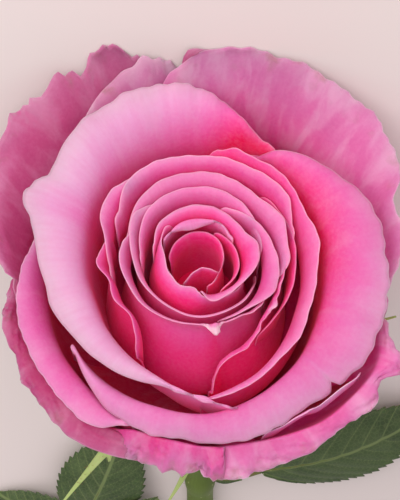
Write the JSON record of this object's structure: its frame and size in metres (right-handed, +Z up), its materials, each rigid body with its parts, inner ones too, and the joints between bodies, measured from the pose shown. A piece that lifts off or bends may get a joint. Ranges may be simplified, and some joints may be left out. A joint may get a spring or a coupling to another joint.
{
  "type": "cut rose",
  "caption": "Fully open rose lying on its side: a spiral of rolled petals in a wide cup, with calyx, thorny stem and toothed leaves.",
  "frame": {"origin": "on the surface that the rose lies on, under the middle of its overall box", "axes": "+Z up, +Y along the stem from the bloom to the cut end, +X across the bloom"},
  "size_m": [0.1394, 0.2439, 0.0917],
  "materials": {
    "inner_petal": "satin, velvety",
    "outer_petal": "satin, velvety",
    "calyx": "smooth green, semi-matt",
    "stem": "smooth green, semi-matt",
    "leaf": "waxy, semi-gloss"
  },
  "bodies": {
    "root": {"bloom_heart": "inner_petal", "cup_petal_left": "outer_petal", "cup_petal_right": "outer_petal", "cup_petal_low": "outer_petal", "guard_petal_back": "outer_petal", "guard_petal_right": "outer_petal", "guard_petal_left": "outer_petal", "guard_petal_low": "outer_petal", "guard_petal_front": "outer_petal", "guard_petal_front_right": "outer_petal", "calyx": "calyx", "stem": "stem", "leaf_upper": "leaf", "leaf_lower": "leaf"}
  },
  "joints": []
}
